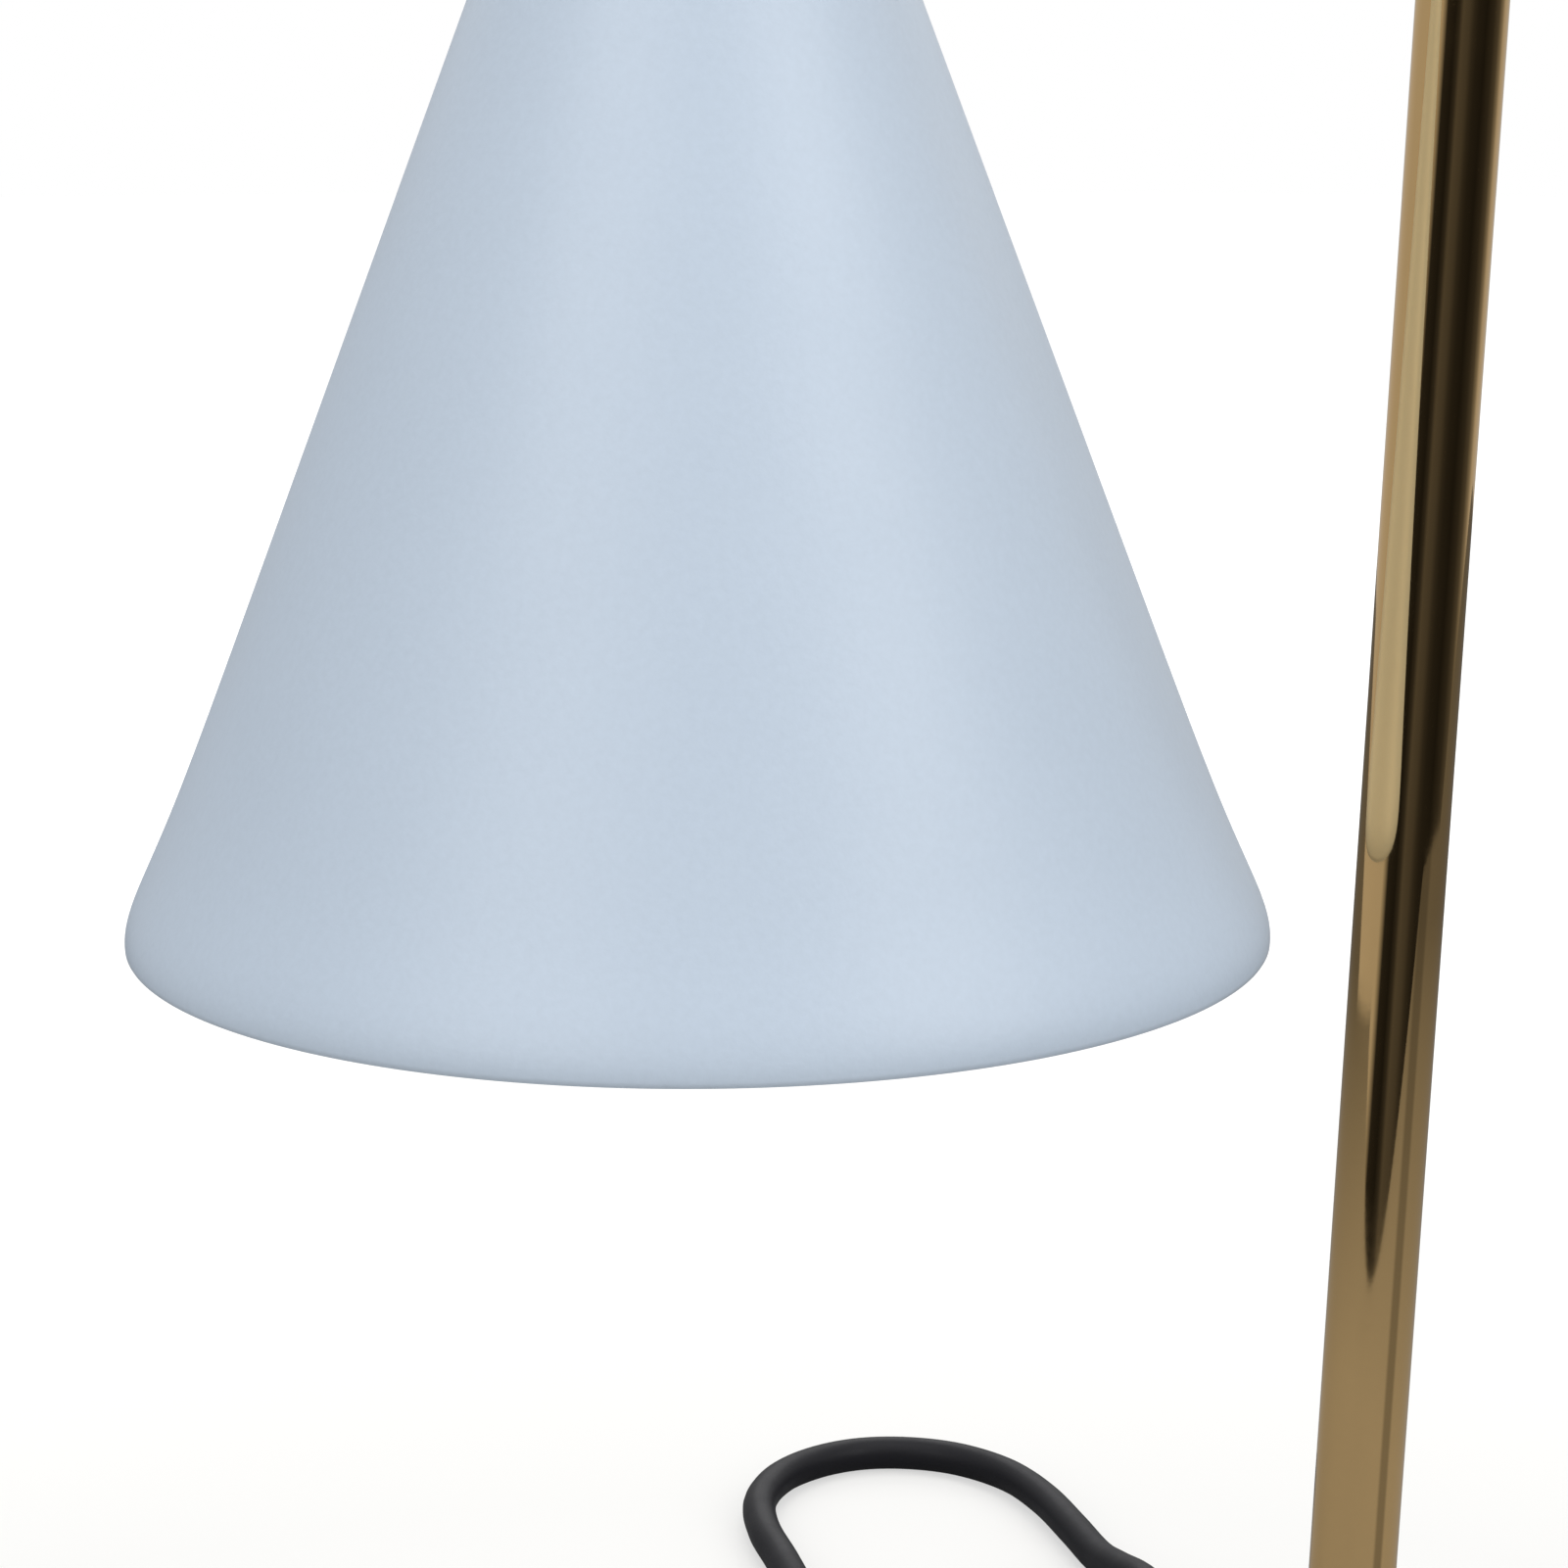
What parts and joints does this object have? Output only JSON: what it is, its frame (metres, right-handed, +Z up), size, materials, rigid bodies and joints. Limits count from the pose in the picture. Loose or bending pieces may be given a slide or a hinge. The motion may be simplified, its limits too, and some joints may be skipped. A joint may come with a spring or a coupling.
{
  "type": "candle warmer lamp",
  "caption": "Table lamp with a weighted round base, a leaning tube bent over in an arch and a tilting cone shade that warms a jar candle from above, with a dimmer on its cord.",
  "frame": {"origin": "middle of the round base, on the table", "axes": "+Z up, +X from the base's middle towards the tube's foot, +Y to the back, away from the viewer of the picture"},
  "size_m": [0.268, 0.3267, 0.3845],
  "materials": {
    "coat": "fine-textured satin powder coat, pale grey-blue",
    "zinc_steel": "zinc-plated steel",
    "iron": "bare cast iron",
    "pad_rubber": "soft non-slip foam rubber",
    "gold_plate": "mirror-polished champagne gold",
    "black_steel": "blackened steel",
    "wire_jacket": "white silicone wire jacket",
    "terminal_nylon": "natural nylon",
    "black_pvc": "satin black moulded plastic",
    "cord_pvc": "satin black round cord jacket",
    "washer_nylon": "natural nylon",
    "steatite": "glazed white ceramic",
    "contact_brass": "plain brass",
    "pin_nickel": "nickel-plated brass",
    "bulb_mirror": "glass with a mirror coat inside",
    "bulb_glass": "clear pressed glass",
    "control_case": "fine-textured black plastic",
    "board": "green circuit board",
    "pot_blue": "blue moulded plastic",
    "knob_grey": "satin dark grey plastic",
    "switch_black": "black moulded plastic",
    "pipe_clear": "clear acrylic",
    "tie_strap": "soft black strap"
  },
  "bodies": {
    "stand": {"base_cover": "coat", "base_plate": "zinc_steel", "base_weight": "iron", "foot_pad": "pad_rubber", "plate_screws": "zinc_steel", "weight_screws": "zinc_steel", "pole_collar": "gold_plate", "pole_block": "zinc_steel", "block_screws": "zinc_steel", "set_screw": "black_steel", "pole_tube": "gold_plate", "inner_leads": "wire_jacket", "terminal_block": "terminal_nylon", "cord_gland": "black_pvc", "cord_entry": "cord_pvc", "arm_fork": "gold_plate", "pivot_screw": "gold_plate", "pivot_nut": "gold_plate", "friction_washers": "washer_nylon", "control_bottom": "control_case", "control_top": "control_case", "control_board": "board", "dimmer_pot": "pot_blue", "timer_switch": "switch_black", "light_pipe": "pipe_clear", "control_screws": "zinc_steel", "relief_in": "black_pvc", "relief_out": "black_pvc", "control_stubs": "cord_pvc", "cord_lead": "cord_pvc", "cord_tail": "cord_pvc", "cord_coil": "cord_pvc", "cord_end": "cord_pvc", "cord_tie": "tie_strap", "plug_body": "black_pvc", "plug_blades": "contact_brass"},
    "head": {"head_tongue": "gold_plate", "stem_nut": "zinc_steel", "socket_cup": "gold_plate", "holder_bracket": "zinc_steel", "lampholder": "steatite", "holder_screws": "zinc_steel", "contact_springs": "contact_brass", "head_leads": "wire_jacket", "shade": "coat", "shade_ring": "washer_nylon"},
    "bulb": {"bulb_foot": "steatite", "bulb_pins": "pin_nickel", "bulb_reflector": "bulb_mirror", "bulb_lens": "bulb_glass", "bulb_capsule": "bulb_glass"},
    "dimmer_dial": {"dimmer_shaft": "pin_nickel", "dimmer_knob": "knob_grey"},
    "timer_key": {"timer_button": "knob_grey"}
  },
  "joints": [
    {"name": "head_tilt", "type": "hinge", "parent": "stand", "child": "head", "pos_m": [-0.01612, 0, 0.322], "axis": [0, 1, 0], "range_deg": [-4, 45]},
    {"name": "bulb_twist", "type": "hinge", "parent": "head", "child": "bulb", "pos_m": [-0.01612, 0, 0.2749], "axis": [0, 0, 1], "range_deg": [0, 25]},
    {"name": "dimmer_turn", "type": "hinge", "parent": "stand", "child": "dimmer_dial", "pos_m": [0.102, 0.128, 0.0154], "axis": [0, 0, 1], "range_deg": [0, 270]},
    {"name": "timer_press", "type": "slide", "parent": "stand", "child": "timer_key", "axis": [0, 0, -1], "range_m": [0, 0.0008], "stiffness_N_per_m": 1200, "springref_m": -0.0005}
  ]
}
